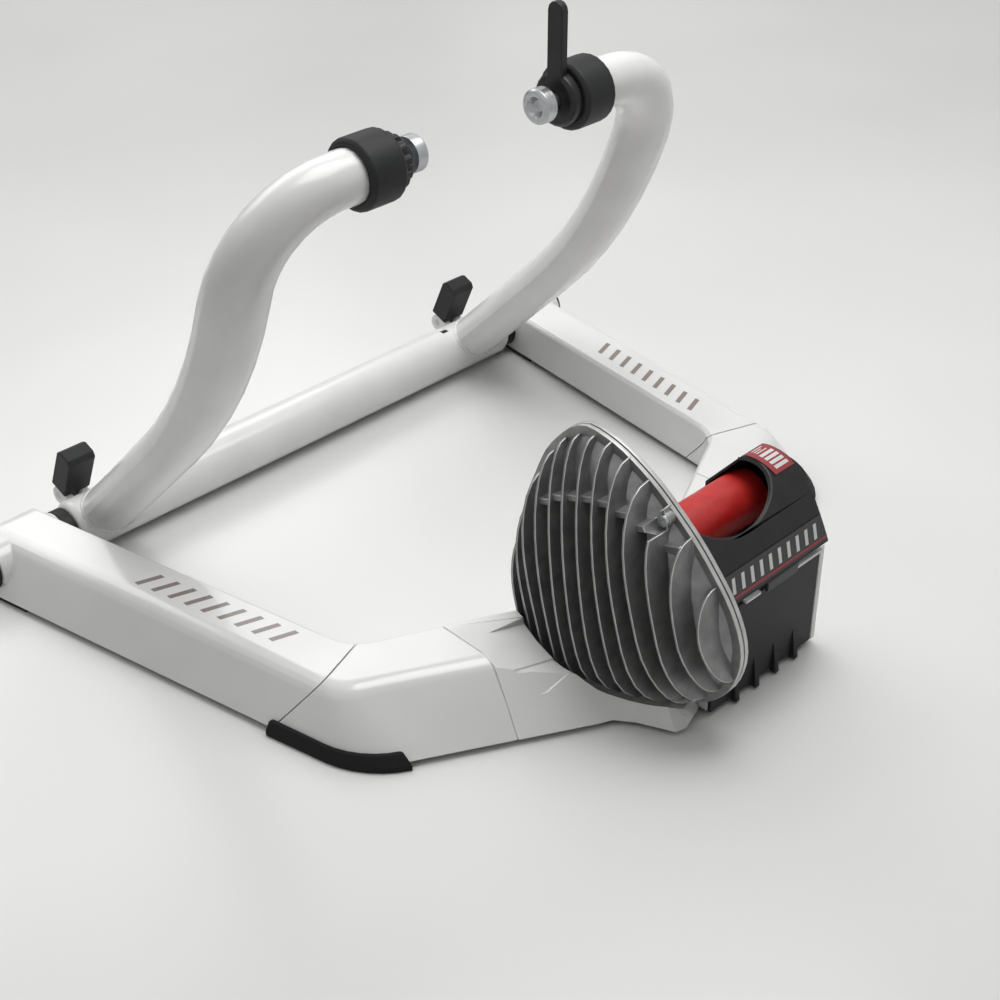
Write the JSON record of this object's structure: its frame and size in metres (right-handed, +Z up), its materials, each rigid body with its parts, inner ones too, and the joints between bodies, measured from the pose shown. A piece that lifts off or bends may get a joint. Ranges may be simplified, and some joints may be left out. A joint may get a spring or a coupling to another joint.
{
  "type": "wheel-on turbo trainer",
  "caption": "Indoor bicycle trainer: white U-shaped base, folding arch that clamps the rear axle, and a fluid resistance unit with a finned dome and red roller under a black hood.",
  "frame": {"origin": "centre of the whole footprint on the floor, under the feet", "axes": "+X to the bicycle's right, +Y forwards as the bicycle stands in it, +Z up"},
  "size_m": [0.7332, 0.6382, 0.4729],
  "materials": {
    "base_white": "white gloss moulding",
    "tube_white": "white gloss paint on steel tube",
    "bracket_steel": "zinc-plated channel",
    "foot_rubber": "matt black",
    "black_plastic": "black moulding, fine texture",
    "bright_steel": "machined",
    "dome_aluminium": "dark cast, satin",
    "cover_aluminium": "light cast, satin",
    "gasket_rubber": "black",
    "impeller_plastic": "black",
    "roller_red": "red elastomer, satin",
    "hood_black": "black moulding, satin gloss",
    "panel_black": "black moulding",
    "badge_red": "dark red film with plain bars",
    "bracket_black": "black painted casting"
  },
  "bodies": {
    "base": {"right_arm": "base_white", "left_arm": "base_white", "right_corner_shell": "base_white", "left_corner_shell": "base_white", "right_corner_bracket": "bracket_steel", "left_corner_bracket": "bracket_steel", "right_corner_foot": "foot_rubber", "left_corner_foot": "foot_rubber", "right_front_foot": "foot_rubber", "left_front_foot": "foot_rubber", "right_pivot_bush": "black_plastic", "left_pivot_bush": "black_plastic", "right_pivot_cap": "black_plastic", "left_pivot_cap": "black_plastic", "heat_sink": "dome_aluminium", "flange_gasket": "gasket_rubber", "back_cover": "cover_aluminium", "upper_flange_screw": "bright_steel", "rear_flange_screw": "bright_steel", "lower_flange_screw": "bright_steel", "left_bearing": "bright_steel", "right_bearing": "bright_steel", "left_bracket_bolt": "bright_steel", "right_bracket_bolt": "bright_steel", "unit_bracket": "bracket_black", "roller_hood": "hood_black", "top_badge": "badge_red", "rear_badge": "hood_black", "rear_cradle": "base_white", "rear_panel": "panel_black"},
    "arch": {"crossbar": "tube_white", "left_pivot_stub": "bright_steel", "right_pivot_stub": "bright_steel", "left_upright": "tube_white", "right_upright": "tube_white", "left_lock_lug": "tube_white", "right_lock_lug": "tube_white", "left_lock_pin": "bright_steel", "right_lock_pin": "bright_steel", "left_axle_head": "black_plastic", "right_axle_head": "black_plastic"},
    "roller": {"roller_shaft": "bright_steel", "impeller": "impeller_plastic", "roller_core": "cover_aluminium", "roller_sleeve": "roller_red", "flywheel": "bright_steel"},
    "left_knob": {"left_adjuster_knob": "black_plastic"},
    "left_cup": {"left_spindle": "bright_steel", "left_axle_cup": "bright_steel"},
    "right_lever": {"right_clamp_lever": "black_plastic"},
    "right_cup": {"right_plunger": "bright_steel", "right_axle_cup": "bright_steel"},
    "left_lock": {"left_lock_lever": "black_plastic"},
    "right_lock": {"right_lock_lever": "black_plastic"}
  },
  "joints": [
    {"name": "frame_fold", "type": "hinge", "parent": "base", "child": "arch", "pos_m": [0, 0.26635, 0.027], "axis": [1, 0, 0], "range_deg": [-10, 24]},
    {"name": "roller_spin", "type": "hinge", "parent": "base", "child": "roller", "pos_m": [0.0011, -0.22065, 0.1266], "axis": [1, 0, 0], "continuous": true},
    {"name": "adjuster_turn", "type": "hinge", "parent": "arch", "child": "left_knob", "pos_m": [-0.1, 0.02006, 0.39094], "axis": [1, 0, 0], "range_deg": [0, 1440]},
    {"name": "left_cup_slide", "type": "slide", "parent": "arch", "child": "left_cup", "axis": [1, 0, 0], "range_m": [0, 0.012]},
    {"name": "clamp_lever_turn", "type": "hinge", "parent": "arch", "child": "right_lever", "pos_m": [0.1, 0.02006, 0.39094], "axis": [1, 0, 0], "range_deg": [0, 80]},
    {"name": "right_cup_slide", "type": "slide", "parent": "arch", "child": "right_cup", "axis": [1, 0, 0], "range_m": [0, 0.008]},
    {"name": "left_lock_turn", "type": "hinge", "parent": "arch", "child": "left_lock", "pos_m": [-0.24, 0.31035, 0.034], "axis": [-1, 0, 0], "range_deg": [0, 60]},
    {"name": "right_lock_turn", "type": "hinge", "parent": "arch", "child": "right_lock", "pos_m": [0.24, 0.31035, 0.034], "axis": [-1, 0, 0], "range_deg": [0, 60]}
  ],
  "couplings": [
    {"joint": "adjuster_turn", "follows": "left_cup_slide", "rad_per_m": 2094.4},
    {"joint": "clamp_lever_turn", "follows": "right_cup_slide", "rad_per_m": 174.53}
  ]
}
